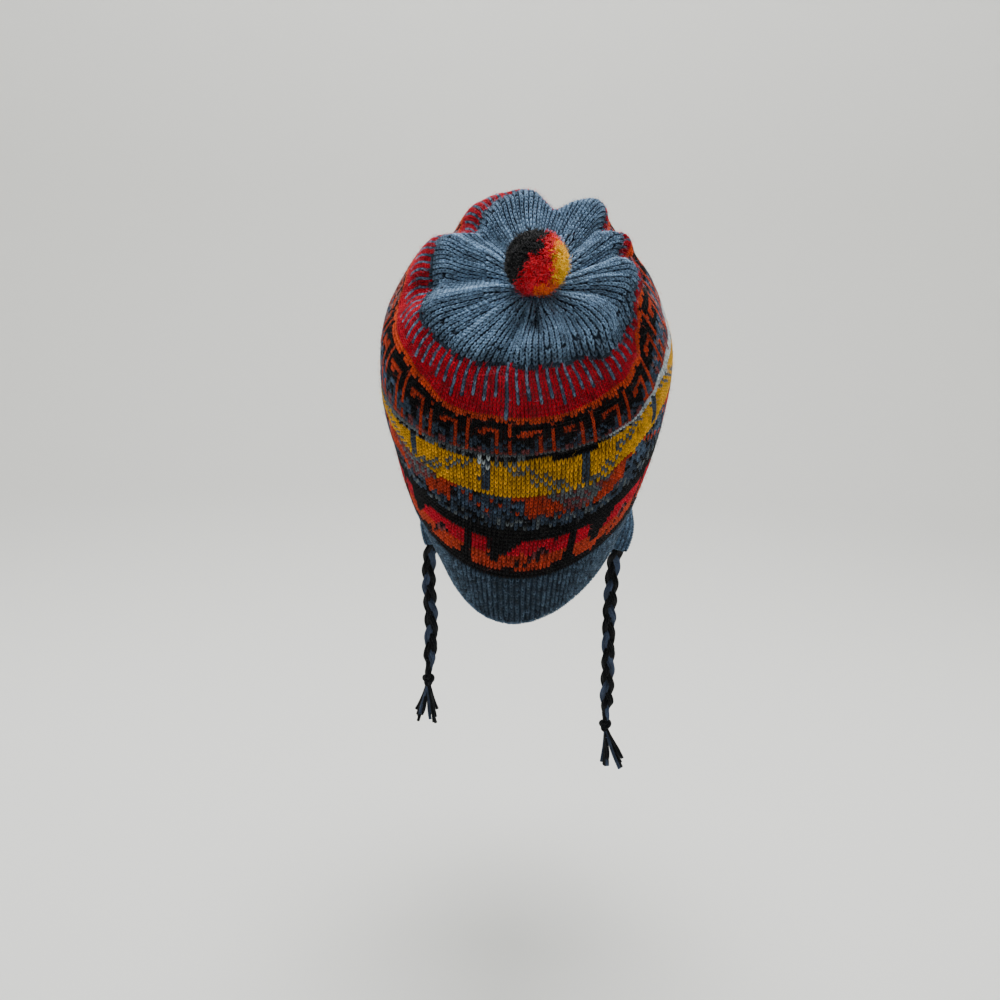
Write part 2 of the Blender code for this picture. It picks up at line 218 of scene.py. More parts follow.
# The knitted wall: a tube of wool that is drawn together at the top, where it swells into lobes round the pompom.
# It leans back as when it is worn. Its rings are counted in courses, the rows of knitting, from the cast-on edge.
hat_width, hat_depth, hat_rise = 0.156, 0.184, 0.178
border_courses, top_course, gather_course = 11, 68, 90
notch_share, lobe_puff, crease_depth, pleat_depth = 0.28, 0.006, 0.006, 0.0013
fold_angle, fold_width, fold_course, fold_height, fold_depth = -78, 30, 42.5, 1.6, 0.002
groove_angle, groove_width, groove_course, groove_height, groove_depth = -86, 7, 83, 5, 0.0045
columns = (
    "course", "back", "height", "slope", "depth", "width", "widest", "lean", "nape_shift", "roll", "pinch", "notch",
    "puff",
)
sections = np.array([
    (0, 0.01, -0.97, 35, 0.97, 0.735, 0.58, 0.06, -0.10, 0, 0.12, 0.00, 0.0),
    (11, -0.08, -0.81, 34, 1.00, 0.88, 0.54, 0.015, -0.06, 0, 0.12, 0.00, 0.0),
    (24, -0.15, -0.65, 33, 1.00, 0.95, 0.50, 0.01, -0.03, 1, 0.08, 0.00, 0.0),
    (33, -0.17, -0.55, 33, 0.99, 0.99, 0.48, 0.00, 0.00, 2, 0.03, 0.00, 0.0),
    (42, -0.19, -0.45, 34, 0.96, 1.00, 0.46, 0.00, 0.00, 3, 0.00, 0.00, 0.0),
    (52, -0.19, -0.35, 38, 0.89, 0.97, 0.46, -0.01, 0.00, 1, 0.00, 0.10, 0.0),
    (58, -0.19, -0.29, 42, 0.81, 0.89, 0.47, -0.02, 0.00, 3, 0.00, 0.35, 0.0),
    (66, -0.18, -0.22, 47, 0.70, 0.78, 0.48, -0.04, 0.00, 6, 0.00, 0.85, 0.2),
    (70, -0.16, -0.19, 49, 0.64, 0.74, 0.50, -0.03, 0.00, 8, 0.00, 1.00, 0.7),
    (75, -0.13, -0.15, 50, 0.54, 0.63, 0.50, -0.01, 0.00, 8, 0.00, 0.95, 1.1),
    (82, -0.08, -0.08, 50, 0.35, 0.40, 0.50, 0.01, 0.00, 6, 0.00, 0.60, 0.9),
    (90, -0.01, 0.01, 50, 0.05, 0.06, 0.50, 0.03, 0.00, 0, 0.00, 0.00, 0.0),
])
furrows = np.array([
    (71, 12, 0.80, 0.7), (29, 10, 0.75, 0.6), (4, 8, 0.45, 0.7), (-33, 10, 0.25, 0.6), (-62, 9, 0.45, 0.7),
    (-100, 7, 0.30, 1.0), (-137, 11, 0.15, 0.4), (-176, 10, 0.20, 1.0), (135, 9, 0.70, 0.7),
])


def section(course, column):
    """A column of the table of rings at any course, on a smooth curve through its rows."""
    known, values = sections[:, 0], sections[:, columns.index(column)]
    slopes = np.gradient(values, known)
    low = np.clip(np.searchsorted(known, course, side="right") - 1, 0, len(known) - 2)
    span = known[low + 1] - known[low]
    t = (course - known[low]) / span
    start = (2 * t**3 - 3 * t**2 + 1) * values[low] + (t**3 - 2 * t**2 + t) * span * slopes[low]
    return start + (3 * t**2 - 2 * t**3) * values[low + 1] + (t**3 - t**2) * span * slopes[low + 1]


def furrow(angle, column):
    """How deep the gather's furrows are at an angle: the sum of a bell curve at each furrow."""
    away = (np.asarray(angle)[..., None] - furrows[:, 0] + 180) % 360 - 180
    return (furrows[:, column] * np.exp(-((away / furrows[:, 1]) ** 2))).sum(axis=-1)


def wall(angle, course):
    """Outside of the wall: an ellipse at each course, fuller before or behind its widest place, notched by the
    furrows, stepped in at the fold across the back, then tipped by the ring's slope and roll."""
    angle, course = np.broadcast_arrays(np.asarray(angle, float), np.asarray(course, float))
    side, ahead = np.cos(np.radians(angle)), np.sin(np.radians(angle))
    depth = section(course, "depth") * hat_depth
    widest = section(course, "widest") * depth
    nape = np.maximum(-ahead, 0) ** 2
    x = section(course, "width") * hat_width / 2 * side * (1 - section(course, "pinch") * nape)
    along = widest + np.where(ahead < 0, widest, depth - widest) * ahead - depth / 2
    near = np.exp(-((((angle - fold_angle + 180) % 360 - 180) / fold_width) ** 2))
    swell = 0.6 * np.exp(-(((course - 47.3) / 3.2) ** 2))
    step = swell - np.exp(-(((course - fold_course) / fold_height) ** 2))
    notch = 1 - notch_share * section(course, "notch") * furrow(angle, 2)
    shape = notch * (1 + fold_depth * near * step / np.hypot(x, along))
    x, along = x * shape, along * shape + depth / 2
    x = x + (section(course, "nape_shift") * nape + section(course, "lean")) * hat_width / 2
    puff = section(course, "puff")
    out = puff * lobe_puff - np.minimum(puff, 1) * crease_depth * furrow(angle, 3)
    pleat = (0.5 + 0.5 * np.cos(np.radians(19 * angle + 130 * np.sin(np.radians(3 * angle))))) ** 3
    groove = np.exp(-(((angle - groove_angle) / groove_width) ** 2))
    groove = groove * np.exp(-(((course - groove_course) / groove_height) ** 2))
    out = out - pleat_depth * np.clip((course - 66) / 8, 0, 1) * pleat - groove_depth * groove
    slope, roll = np.radians(section(course, "slope")), np.radians(section(course, "roll"))
    y = section(course, "back") * hat_depth + along * np.cos(slope) - out * np.sin(slope)
    z = section(course, "height") * hat_rise + along * np.sin(slope) + out * np.cos(slope)
    return np.stack([x * np.cos(roll), y, z + x * np.sin(roll)], axis=-1)


seam_angle = -98
wales = 240
ring_steps = 720
turns = seam_angle + np.linspace(0, 360, ring_steps + 1)
shares = np.linspace(0, 1, ring_steps + 1)
ring_angles = []
for course in range(gather_course + 1):
    run = np.linalg.norm(np.diff(wall(turns, course), axis=0), axis=1).cumsum()
    ring_angles.append(np.interp(shares, np.concatenate([[0], run]) / run[-1], turns))
ring_angles = np.array(ring_angles)


# How far the rows are pulled up the wall, in courses: each line starts with its turn round the hat from the seam, in
# degrees, and gives the lift of the seven rows that pull_courses counts.
pull_courses = np.array([11, 20, 33, 42, 55, 68, 90])
pulled = np.array([
    (0, 0.0, 0.0, -0.5, 0.5, -1.5, 1.0, 0), (18, 0, 0.0, 0.0, 1.5, -1.0, 0.3, 0),
    (33, 0, 0.0, -0.2, 2.0, -0.5, -3.0, 0), (48, 0, 0.5, 3.0, 2.7, 1.2, -4.4, 0),
    (60, 0, 0.8, 5.0, 6.0, 2.8, -4.6, 0), (69, 0, 2.0, 7.2, 8.5, 7.0, -4.0, 0),
    (80, 0, 3.0, 8.0, 10.0, 12.0, 1.0, 0), (104, 0, 3.0, 8.0, 11.0, 14.5, 5.5, 0),
    (140, 0, 3.0, 8.0, 10.0, 12.0, 2.5, 0), (188, 0, 3.0, 8.0, 10.0, 12.0, 3.2, 0),
    (224, 0, 3.0, 8.0, 10.0, 12.0, 7.8, 0), (252, 0, 3.0, 8.0, 10.0, 11.0, 4.5, 0),
    (274, 0, 2.0, 7.5, 8.5, 9.5, 6.3, 0), (284, 0, 1.0, 6.5, 5.0, 5.0, 5.8, 0),
    (296, 0, 0.5, 5.0, -0.8, 4.4, 4.6, 0), (310, 0, 0.0, 3.2, -0.5, 4.0, 2.3, 0),
    (323, 0, 0.0, 1.4, 0.0, 1.7, 1.3, 0), (340, 0, 0.0, 0.0, 0.5, -1.4, 1.2, 0),
    (360, 0, 0.0, -0.5, 0.5, -1.5, 1.0, 0),
])


def body(wale, course):
    """Outside of the wall by stitch: wale 0 to 240 counts stitches to the right from the seam at the back, evenly
    along each ring. The stretch of wearing and the gather pull the rows up on the way round, by the table above."""
    wale, course = np.broadcast_arrays(np.asarray(wale, float), np.asarray(course, float))
    knitted = course
    turn = (wale / wales) % 1 * ring_steps
    degrees = turn / 2
    low = np.clip(np.searchsorted(pulled[:, 0], degrees, side="right") - 1, 0, len(pulled) - 2)
    share = (degrees - pulled[low, 0]) / (pulled[low + 1, 0] - pulled[low, 0])
    share = share**2 * (3 - 2 * share)
    band = np.clip(np.searchsorted(pull_courses, course, side="right") - 1, 0, len(pull_courses) - 2)
    at = np.clip((course - pull_courses[band]) / (pull_courses[band + 1] - pull_courses[band]), 0, 1)
    lower = pulled[low, band + 1] * (1 - share) + pulled[low + 1, band + 1] * share
    upper = pulled[low, band + 2] * (1 - share) + pulled[low + 1, band + 2] * share
    course = course + lower * (1 - at) + upper * at
    ring = np.clip(course, 0, gather_course)
    a, c = np.minimum(turn.astype(int), ring_steps - 1), np.minimum(ring.astype(int), gather_course - 1)
    fa, fc = turn - a, ring - c
    low = ring_angles[c, a] * (1 - fa) + ring_angles[c, a + 1] * fa
    high = ring_angles[c + 1, a] * (1 - fa) + ring_angles[c + 1, a + 1] * fa
    rim = 0.0016 * np.exp(-(((knitted - 72) / 3) ** 2)) - 0.0012 * np.exp(-(((knitted - 66.5) / 2) ** 2))
    tip = np.radians(section(ring, "slope"))
    place = wall(low * (1 - fc) + high * fc, course)
    return place + np.stack([0 * rim, -rim * np.sin(tip), rim * np.cos(tip)], axis=-1)


# The stranded bands, knitted with two or more yarns a row: hooks under a red band with blue tongues, a mustard band
# crossed by grey steps, rust blocks over a blue marl, and a red and orange fret on black next to the border.
key_band = [
    "oKKKKKKKKK",
    "oKKKKKKKKK",
    "oKKoooooKK",
    "oKKooKKoKK",
    "oKKKKKKoKK",
    "oKsKKKsoKs",
    "osKsKKsosK",
    "ossKsKsoss",
    "osKDDssosK",
    "oDsDDsDoDD",
]
fret_band = [
    "RRRRKKKKKKKKRRRRRRRRRRRRKK",
    "RRRRKKKKKKKRRRRRRRRRRRRRKK",
    "RRRRKKKKKKRRRRRRDKRRRRRRKK",
    "RRRRKKKKKRRRRRRDKDKRRRRRKK",
    "oooooKKKooooooKDKoooooooKK",
    "oooooKKoooooooKoKooooooKKK",
    "oooooooooooKoKoooooooooKKK",
    "KoooooooKKKoooooooooKKKKKK",
]
stripes = np.array([-120, -91, -69, -47, -25, -5, 18, 40, 62, 84, 106, 120])


def pattern(wale, course):
    """The yarn of each stitch, as a letter. Whole numbers of wale and course; bands are counted from the border."""
    wale, course = np.broadcast_arrays(np.asarray(wale, int), np.asarray(course, int))
    wale = (wale + 120) % 240 - 120
    yarn = np.full(wale.shape, "K")

    def chart(rows, low, shift):
        """Knits a small repeat round the hat, from the row low upward and shifted sideways."""
        letters = np.array([list(row) for row in rows])
        inside = (course >= low) & (course < low + len(rows))
        row = np.clip(len(rows) - 1 - (course - low), 0, len(rows) - 1)
        yarn[inside] = letters[row, (wale - shift) % letters.shape[1]][inside]

    def put(letter, where):
        """Knits one yarn where the mask says."""
        yarn[where] = letter

    mixed = chance.random(wale.shape)
    stray = np.where(course < 54, 0.25, 0)
    wale = wale + np.rint(chance.normal(0, 1, wale.shape) * stray).astype(int)
    course = course + np.rint(chance.normal(0, 1, wale.shape) * stray).astype(int)
    chart(fret_band, 13, -7)
    # Dark marl between the fret and the rust blocks, then the blocks themselves.
    put("s", (course >= 24) & (course < 27) & (mixed > 0.35))
    put("g", (course >= 24) & (course < 27) & (mixed > 0.8))
    cell = np.searchsorted(stripes, wale, side="right") - 1
    away = wale - stripes[cell]
    nearest = cell + (away > 11)
    beside = wale - stripes[np.minimum(nearest, 11)]
    rust = (course >= 27) & (course < 33)
    put("o", rust)
    dull = rust & (nearest % 2 == 0) & (np.abs(beside) < 2 + (course - 27) * 1.3)
    put("D", dull)
    put("g", dull & (mixed > 0.5))
    blue = rust & (nearest % 2 == 1) & (np.abs(beside) < 9.5 - (course == 32) * 3)
    put("s", blue)
    put("m", blue & (mixed > 0.55))
    put("K", blue & (mixed < 0.2))
    put("o", blue & ((wale + course * 2) % 7 == 3) & (np.abs(beside + (course - 30) * 2.2) < 4.5))
    put("s", (course == 27) & (mixed > 0.4))
    # The mustard band with its slanting steps, and the pale line above it.
    mustard = (course >= 33) & (course < 41)
    put("Y", mustard)
    slant = np.where(cell % 2 == 0, 3 + (course - 33) * 1.9, 19 - (course - 33) * 1.9)
    put("g", mustard & (np.abs(away - slant) < 3.2) & ((wale + course) % 2 == 0))
    put("s", mustard & (np.abs(beside - 0.5) < 1) & (course > 33))
    put("g", (course == 41) & (mixed > 0.4))
    put("g", course == 42)
    put("G", (course > 41 - (wale > 34)) & (course < 43 + (wale > 34)) & (wale > 24) & (wale < 80))
    # Black at the top of the mustard band, right of the seam: painted shadow under the fold that overhangs it.
    put("K", (course == 41) & (wale > 4) & (wale < 26) | (course == 40) & (wale > 10) & (wale < 22))
    # The hooks. Toward both sides their black is greyed with slate and pale red-grey: painted light, for the side light
    # that catches it there.
    chart(key_band, 43, 1)
    band = (np.abs(wale) < 92) & (course > 42) & (course < 53) & (yarn == "K")
    put("m", band & (wale < -32) & (mixed > 0.6) & (course < 49))
    put("d", band & (np.abs(wale) > 42) & (mixed > 0.5) & (course < 47))
    put("m", band & (np.abs(wale) > 38) & (mixed < 0.4) & (course < 48))
    put("d", band & (wale < -52) & (mixed > 0.4))
    put("O", (course >= 53) & (course < 55) & ((course == 54) | (mixed > 0.35)))
    # The red band, and the blue tongues that come down into it.
    put("R", (course >= 55) & (course < top_course))
    root = 57 + (wale // 3 * 7 % 5) * 0.5 - (np.abs(wale) < 2) * 3
    tongue = (course >= root) & (course < top_course) & (wale % 3 == 0)
    put("S", tongue)
    put("m", tongue & (mixed > 0.5))
    # Row 67 in dark marled blue: painted shadow under the rim of the blue top.
    put("s", (course == 67) & (mixed > 0.3))
    put("G", (np.abs(wale + 5) < 2) & (course > 37) & (course < 42) & (mixed > 0.6))
    return yarn


def yarn_colours(letters):
    """The linear colour of each letter."""
    found = np.zeros((*letters.shape, 3))
    for letter, colour in YARN.items():
        found[letters == letter] = colour
    return found


def stitches(name, surface, wale, course, pitch, colour, material, gauge=1.0, raised=0.0):
    """Knit stitches as a mesh, two legs each: they leave the foot of the stitch close together, rise outward past the
    foot of the next one and dive behind it. wale and course are the middle of the foot, in stitches."""
    both = np.array([-1, 1])[:, None, None]
    sideways = both * np.array([0.01, 0.11, 0.3, 0.33]) * gauge
    upward = np.array([-0.4, 0.1, 0.85, 1.3])
    wale = (wale[None, :, None] + sideways).reshape(-1, 4)
    course = (course[None, :, None] + upward + 0 * both).reshape(-1, 4)
    lift = np.broadcast_to(np.array([-0.0007, 0.0003, 0.0003, -0.0008]) + raised, wale.shape)
    width = np.concatenate([pitch, pitch])[:, None] * np.array([0.1, 0.17, 0.17, 0.1]) * gauge
    colour = np.concatenate([colour, colour])
    colour = colour * np.where(chance.random(len(colour)) < 0.08, 0.55, 1.0)[:, None]
    return yarn_spindles(name, surface, wale, course, lift, width, 0.0006, colour, material)


def ring_pitch(course, count):
    """Width of one stitch where a ring holds that many."""
    pitch = []
    for c in course:
        ring = body(np.linspace(0, wales, wales + 1), c)
        pitch.append(np.linalg.norm(np.diff(ring, axis=0), axis=1).sum() / count)
    return np.array(pitch)


knit = wool("stranded wool", 1.5, 0.0002)
crown_pieces = []
for index, (low, high) in enumerate([(11, 30), (30, 49), (49, 68)]):
    across, up = np.meshgrid(np.arange(wales), np.arange(low, high))
    pitch = np.repeat(ring_pitch(np.arange(low, high), wales), wales)
    colour = yarn_colours(pattern(across, up)).reshape(-1, 3)
    crown_pieces.append(stitches(
        f"crown_stitches_{index}", body, across.ravel() + 0.5, up.ravel() + 0.0, pitch, colour, knit
    ))


# The gathered top: plain slate blue with half as many stitches, which crowd together toward the pompom. A ring of
# small holes lies where the stitches were taken together in pairs.
for index, (low, high, each) in enumerate([(68, 82, 2), (82, 89, 4)]):
    across, up = np.meshgrid(np.arange(0, wales, each), np.arange(low, high))
    pitch = np.repeat(ring_pitch(np.arange(low, high), wales / each), wales // each)
    # The top's lowest rows, up to course 71, are darkened down to 0.35: painted shadow under the rim that rolls over
    # the red band.
    colour = np.broadcast_to(YARN["S"], (across.size, 3)) * np.interp(up.ravel(), [67, 71], [0.35, 1])[:, None]
    colour = colour * np.exp(chance.normal(0, 0.1, wales // each))[(across // each).ravel()][:, None]
    # Stitches round wale 7 and course 82 are darkened by up to three quarters: painted shade in the groove below the
    # pompom.
    colour = colour * (1 - 0.75 * np.exp(-(((across.ravel() - 7) / 3) ** 2) - ((up.ravel() - 82.5) / 5) ** 4))[:, None]
    holes = (up == 71) & (across % (3 * each) == 0) & (chance.random(up.shape) > 0.4)
    across, up, pitch, colour = across[~holes], up[~holes], pitch[~holes.ravel()], colour[~holes.ravel()]

    def blue_top(wale, course, each=each):
        """The wall counted in the top's own, wider stitches."""
        return body(wale * each, course)

    crown_pieces.append(stitches(
        f"top_stitches_{index}", blue_top, across / each + 0.5, up + 0.0, pitch, colour, knit, gauge=0.94
    ))


# The cloth under the stitches: a thin closed sheet of wool, plain inside. Outside it shows as the dark between the
# stitches: its yarn colours are darkened to a quarter, and to a fifth under the top, as painted shade.
def closed_sheet(name, outer, inner, colour, material, wrap):
    """A thin closed sheet from two grids of points (rows, steps, 3), outside and inside, with their rims joined. Where
    it wraps round, its first and last column meet."""
    rows, steps = outer.shape[:2]
    count = rows * steps
    last = steps if wrap else steps - 1
    r, c = np.meshgrid(np.arange(rows - 1), np.arange(last), indexing="ij")
    r, c, n = r.ravel(), c.ravel(), (c.ravel() + 1) % steps
    front = np.stack([r * steps + c, r * steps + n, (r + 1) * steps + n, (r + 1) * steps + c], axis=1)
    back = front[:, ::-1] + count
    c = np.arange(last)
    n = (c + 1) % steps
    foot = np.stack([n, c, c + count, n + count], axis=1)
    top = (rows - 1) * steps
    head = np.stack([top + c, top + n, top + n + count, top + c + count], axis=1)
    faces = [front, back, foot, head]
    if not wrap:
        r = np.arange(rows - 1) * steps
        faces.append(np.stack([r, r + steps, r + steps + count, r + count], axis=1))
        r = r + steps - 1
        faces.append(np.stack([r + steps, r, r + count, r + steps + count], axis=1))
    points = np.concatenate([outer.reshape(-1, 3), inner.reshape(-1, 3)])
    colours = np.concatenate([colour.reshape(-1, 3), colour.reshape(-1, 3)])
    return mesh_object(name, points, faces, colours, material)


backing = wool("wool backing", 0, 0.0003, roughness=0.95, sheen=0.0)
across, up = np.meshgrid(np.arange(0, wales, 2), np.arange(border_courses, gather_course + 1, 1.0))
up[-1] = 89.9
place, sideways, outward = cloth_frame(body, across + 0.5, np.minimum(up, 89.6))
letters = pattern(across, np.minimum(up, 88).astype(int))
letters[up >= top_course] = "m"
shadow = np.where(up < top_course, 0.25, 0.2)[..., None]
crown_cloth = closed_sheet(
    "crown_cloth", place - outward * 0.0005, place - outward * 0.0028, yarn_colours(letters) * shadow, backing, True
)
for piece in [crown_cloth, *crown_pieces]:
    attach(piece, "root")
    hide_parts("crown")


# The rib border: slate blue, one knit and one purl, so that narrow ribs stand up with dark valleys between. Its
# cast-on edge is a lighter twisted row.
ribs = 168
rib_knit = wool("slate blue wool", 1.5, 0.0002)
rib_rows = 15


def rib(wale, course):
    """The wall below the bands, counted in ribs and in the rib's own rows."""
    return body(wale * wales / ribs, course * border_courses / rib_rows)


across, up = np.meshgrid(np.arange(ribs), np.arange(rib_rows))
pitch = np.repeat(ring_pitch(np.arange(rib_rows) * border_courses / rib_rows, ribs), ribs) * 0.8
# The ribs' slate blue is darkened to between 0.2 and 0.55 of itself: painted shade, with random tone from stitch to
# stitch.
blue = np.broadcast_to(YARN["S"], (across.size, 3)) * chance.uniform(0.2, 0.55, (across.size, 1))
border_stitches = stitches(
    "border_stitches", rib, across.ravel() + 0.5, up.ravel() + 0.1, pitch, blue, rib_knit, gauge=0.8, raised=0.0004
)
edge = np.arange(ribs * 2) / 2
# The cast-on row's slate blue is darkened to 0.6: painted shade, less than on the ribs.
cast_on = yarn_spindles(
    "border_edge", rib, edge[:, None] + np.array([-0.3, -0.1, 0.25, 0.4]),
    np.array([[0.5, 0.0, -0.35, -0.5]]) + 0 * edge[:, None],
    np.array([[-0.0005, 0.0004, 0.0004, -0.0005]]) + 0 * edge[:, None],
    np.full((len(edge), 4), 0.0007), 0.0008, np.broadcast_to(YARN["S"] * 0.6, (len(edge), 3)), rib_knit
)
across, up = np.meshgrid(np.arange(0, ribs), np.linspace(-0.3, border_courses - 0.3, 8) * rib_rows / border_courses)
place, sideways, outward = cloth_frame(rib, across, up)
# The cloth under the ribs is slate blue darkened to 0.15: painted shade in the valleys between the ribs.
border_cloth = closed_sheet(
    "border_cloth", place - outward * 0.0006, place - outward * 0.0026,
    np.broadcast_to(YARN["S"] * 0.15, (*across.shape, 3)), backing, True
)
for piece in (border_stitches, cast_on, border_cloth):
    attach(piece, "root")
    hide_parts("ribbed_border")


# The ear flaps: blue like the border and knitted on to it in ridges. Each narrows to the place where its tie is
# knotted in.
flap_width, flap_length = 0.086, 0.047
flap_taper = np.array([(0.0, 1.0), (0.2, 0.9), (0.45, 0.7), (0.7, 0.46), (0.88, 0.28), (1.0, 0.16)])


def hang_direction():
    """Down the tipped axis of the hat."""
    slope = math.radians(float(section(0, "slope")))
    return np.array([0, math.sin(slope), -math.cos(slope)])


def flap(side, across, down):
    """Outside of an ear flap: it goes on from the wall, turns to hang down, billows a little and narrows. across is
    -1 to 1, down is 0 at the border to 1 at the tip."""
    across, down = np.broadcast_arrays(np.asarray(across, float), np.asarray(down, float))
    centre = 2 if side > 0 else 178
    half = side * math.degrees(flap_width / hat_depth)
    angle = centre + half * across * np.interp(down, flap_taper[:, 0], flap_taper[:, 1])
    edge = wall(angle, 0)
    away = edge - wall(angle, 1)
    away /= np.linalg.norm(away, axis=-1, keepdims=True)
    hang = (np.clip(down, 0, 0.5) * 2)[..., None]
    billow, tuck = (0.008, -0.005) if side > 0 else (0.007, -0.003)
    swell = billow * np.sin(np.pi * np.clip(down, 0, 1)) * (1 - 0.5 * across**2) - tuck * np.clip(down, 0, 1) ** 1.5
    drop = flap_length * down[..., None] * ((1 - hang) * away + hang * hang_direction())
    return edge + 0.0005 * away + drop + swell[..., None] * np.array([side, 0, 0])


flap_rows, flap_stitches = 15, 26
for side, label in ((-1, "left"), (1, "right")):
    def ridges(wale, course, side=side):
        """The flap counted in stitches to the right and rows up, as seen from outside."""
        return flap(side, side * (wale / flap_stitches * 2 - 1), 1 - course / flap_rows)

    pieces = []
    for face, direction, sign in (("outer", 0.0, 1), ("inner", -0.003, -1)):
        across, up = np.meshgrid(np.arange(flap_stitches), np.arange(flap_rows))
        wale = across.reshape(-1, 1) + 0.5 + np.array([-0.55, -0.25, 0.25, 0.55])
        wale = np.clip(wale, 0.3, flap_stitches - 0.3)
        course = up.reshape(-1, 1) + 0.5 + np.array([-0.15, 0.1, 0.1, -0.15])
        low_row = up.reshape(-1, 1) % 2
        lift = direction + sign * (np.array([[-0.0003, 0.0006, 0.0006, -0.0003]]) - 0.0007 * low_row) + 0 * wale
        # The low rows between the ridges are darkened to 0.4: painted shade in the furrows.
        blue = YARN["S"] * chance.uniform(0.8, 1.1, (len(wale), 1)) * (1 - 0.6 * low_row)
        pieces.append(yarn_spindles(
            f"{label}_flap_{face}", ridges, wale, course, lift, np.full(wale.shape, 0.0013), 0.0009, blue, rib_knit
        ))
    across, up = np.meshgrid(np.linspace(0, flap_stitches, 22), np.linspace(0, flap_rows, 22))
    place, sideways, outward = cloth_frame(ridges, across, up)
    # The cloth under the ridges is slate blue darkened to half: painted shade between them.
    cloth = closed_sheet(
        f"{label}_flap_cloth", place - outward * 0.0004, place - outward * 0.0026,
        np.broadcast_to(YARN["S"] * 0.5, (*across.shape, 3)), backing, False
    )
    for piece in (cloth, *pieces):
        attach(piece, "root")
        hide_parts(f"{label}_ear_flap")


# The ties: braids of three strands of thick yarn, two black and one slate blue, that start inside the flaps' tips.
# Each ends in a knot, with its loose ends below as a tassel.
braid_yarn = wool("braided wool", 10, 0.0004)


def smooth_line(route, count):
    """Points at an even spacing on a smooth curve through the route's own points."""
    knots = np.array(route, float)
    slopes = np.gradient(knots, axis=0)
    t = np.linspace(0, len(knots) - 1, 400)
    i = np.minimum(t.astype(int), len(knots) - 2)
    t = (t - i)[:, None]
    line = (
        (2 * t**3 - 3 * t**2 + 1) * knots[i] + (t**3 - 2 * t**2 + t) * slopes[i]
        + (3 * t**2 - 2 * t**3) * knots[i + 1] + (t**3 - t**2) * slopes[i + 1]
    )
    run = np.concatenate([[0], np.cumsum(np.linalg.norm(np.diff(line, axis=0), axis=1))])
    return np.stack([np.interp(np.linspace(0, run[-1], count), run, line[:, k]) for k in range(3)], axis=1), run[-1]


def tube(line, radius, sides):
    """Points, faces and strand places of a closed round tube along a line: a ring of points at each place, square to
    the line, and a fan at both ends. radius is one number or one for each place."""
    ahead = np.gradient(line, axis=0)
    ahead /= np.linalg.norm(ahead, axis=1, keepdims=True)
    guide = np.array([0.02, -1.0, 0.05])
    one = np.cross(ahead, guide)
    one /= np.linalg.norm(one, axis=1, keepdims=True)
    two = np.cross(ahead, one)
    around = np.arange(sides) * 2 * np.pi / sides
    size = np.broadcast_to(radius, len(line))[:, None, None]
    ring = line[:, None] + size * (
        np.cos(around)[:, None] * one[:, None] + np.sin(around)[:, None] * two[:, None]
    )
    count = len(line)
    points = np.concatenate([ring.reshape(-1, 3), line[[0, -1]]])
    r, c = np.meshgrid(np.arange(count - 1), np.arange(sides), indexing="ij")
    r, c = r.ravel(), c.ravel()
    n = (c + 1) % sides
    quads = np.stack([r * sides + c, r * sides + n, (r + 1) * sides + n, (r + 1) * sides + c], axis=1)
    c = np.arange(sides)
    n = (c + 1) % sides
    last = (count - 1) * sides
    fans = np.concatenate([
        np.stack([n, c, 0 * c + count * sides], axis=1),
        np.stack([last + c, last + n, 0 * c + count * sides + 1], axis=1),
    ])
    run = np.concatenate([[0], np.cumsum(np.linalg.norm(np.diff(line, axis=0), axis=1))]) / 0.02
    place = np.stack(np.broadcast_arrays(run[:, None], (np.arange(sides) / sides)[None, :]), axis=-1).reshape(-1, 2)
    return points, quads, fans, np.concatenate([place, [[0, 0], [run[-1], 0]]])


def joined_tubes(name, tubes, colours, material):
    """Several tubes as one mesh, each in its own yarn."""
    points, quads, fans, places, tones, first = [], [], [], [], [], 0
    for (p, q, f, s), colour in zip(tubes, colours):
        points.append(p)
        quads.append(q + first)
        fans.append(f + first)
        places.append(s)
        tones.append(np.broadcast_to(colour, p.shape))
        first += len(p)
    return mesh_object(
        name, np.concatenate(points), [np.concatenate(quads), np.concatenate(fans)], np.concatenate(tones), material,
        np.concatenate(places)
    )


